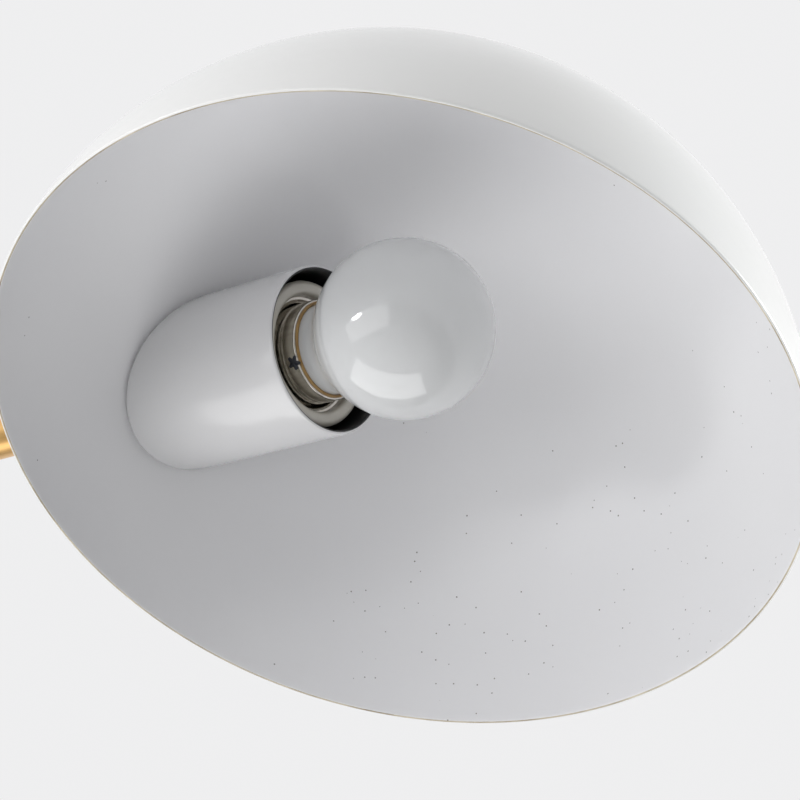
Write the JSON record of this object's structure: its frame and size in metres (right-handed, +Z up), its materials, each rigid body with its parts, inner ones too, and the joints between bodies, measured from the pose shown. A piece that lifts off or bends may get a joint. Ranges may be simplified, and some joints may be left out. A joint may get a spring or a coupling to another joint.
{
  "type": "swing arm wall sconce",
  "caption": "Brass wall light with two swinging arm tubes, a swivelling white dome shade and a socket cup with a round opal lamp inside it",
  "frame": {"origin": "centre of the mounting bar's two screw slots, on the wall plane", "axes": "-Y out of the wall along the arms at rest, +Y into the wall, +Z up, X along the wall"},
  "size_m": [0.2, 0.6019, 0.12],
  "materials": {
    "brass": "satin lacquered",
    "pipe_brass": "machined",
    "zinc_steel": "zinc plated",
    "spring_steel": "plain",
    "black_steel": "blackened",
    "nylon": "matte",
    "shade_white": "gloss enamel",
    "cup_white": "gloss enamel",
    "porcelain": "glazed",
    "nickel": "nickel plated",
    "opal_glass": "opal",
    "black_glass": "gloss",
    "wire_black": "matte",
    "wire_white": "matte",
    "wire_green": "matte",
    "green_screw": "plated green",
    "connector_orange": "moulded"
  },
  "bodies": {
    "wall_plate": {"mounting_bar": "zinc_steel", "canopy": "brass", "canopy_studs": "zinc_steel", "canopy_cap_nuts": "brass", "wall_pipe": "pipe_brass", "wall_pipe_nuts": "zinc_steel", "ground_screw": "green_screw", "ground_lead": "wire_green", "wire_connectors": "connector_orange", "wall_knuckle": "brass", "wall_knuckle_cap": "brass", "wall_pivot_pipe": "pipe_brass", "wall_pivot_nuts": "zinc_steel", "wall_pivot_washer": "nylon", "wall_pivot_spring": "spring_steel", "wall_stop_pin": "spring_steel", "live_wire_wall": "wire_black", "neutral_wire_wall": "wire_white"},
    "first_arm": {"first_arm_tube": "brass", "first_arm_knuckle": "brass", "first_knuckle_cap": "brass", "elbow_upper_knuckle": "brass", "elbow_upper_cap": "brass", "first_arm_set_screws": "black_steel", "elbow_pivot_pipe": "pipe_brass", "elbow_pivot_nuts": "zinc_steel", "elbow_pivot_washer": "nylon", "elbow_pivot_spring": "spring_steel", "elbow_stop_pin": "spring_steel", "live_wire_first_arm": "wire_black", "neutral_wire_first_arm": "wire_white"},
    "second_arm": {"elbow_lower_knuckle": "brass", "elbow_lower_cap": "brass", "second_arm_tube": "brass", "second_arm_set_screws": "black_steel", "swivel_housing": "brass", "swivel_plug": "brass", "live_wire_second_arm": "wire_black", "neutral_wire_second_arm": "wire_white"},
    "shade_head": {"shade_pipe": "pipe_brass", "shade_pipe_nuts": "zinc_steel", "swivel_washer": "nylon", "swivel_spring": "spring_steel", "shade_collar": "brass", "shade": "shade_white", "socket_cup": "cup_white", "wedge_washer": "zinc_steel", "tooth_washer": "spring_steel", "holder_bracket": "zinc_steel", "bracket_screws": "zinc_steel", "lampholder": "porcelain", "screw_shell": "nickel", "centre_contact": "pipe_brass", "terminal_screws": "pipe_brass", "live_wire_shade": "wire_black", "neutral_wire_shade": "wire_white", "lamp_globe": "opal_glass", "lamp_base": "nickel", "lamp_insulator": "black_glass", "lamp_contact": "nickel"}
  },
  "joints": [
    {"name": "wall_swing", "type": "hinge", "parent": "wall_plate", "child": "first_arm", "pos_m": [0, -0.058, 0], "axis": [0, 0, 1], "range_deg": [-90, 90]},
    {"name": "elbow_swing", "type": "hinge", "parent": "first_arm", "child": "second_arm", "pos_m": [0, -0.258, 0], "axis": [0, 0, 1], "range_deg": [-130, 130]},
    {"name": "shade_swivel", "type": "hinge", "parent": "second_arm", "child": "shade_head", "pos_m": [0, -0.408, 0], "axis": [0, -1, 0], "range_deg": [-90, 90]}
  ]
}
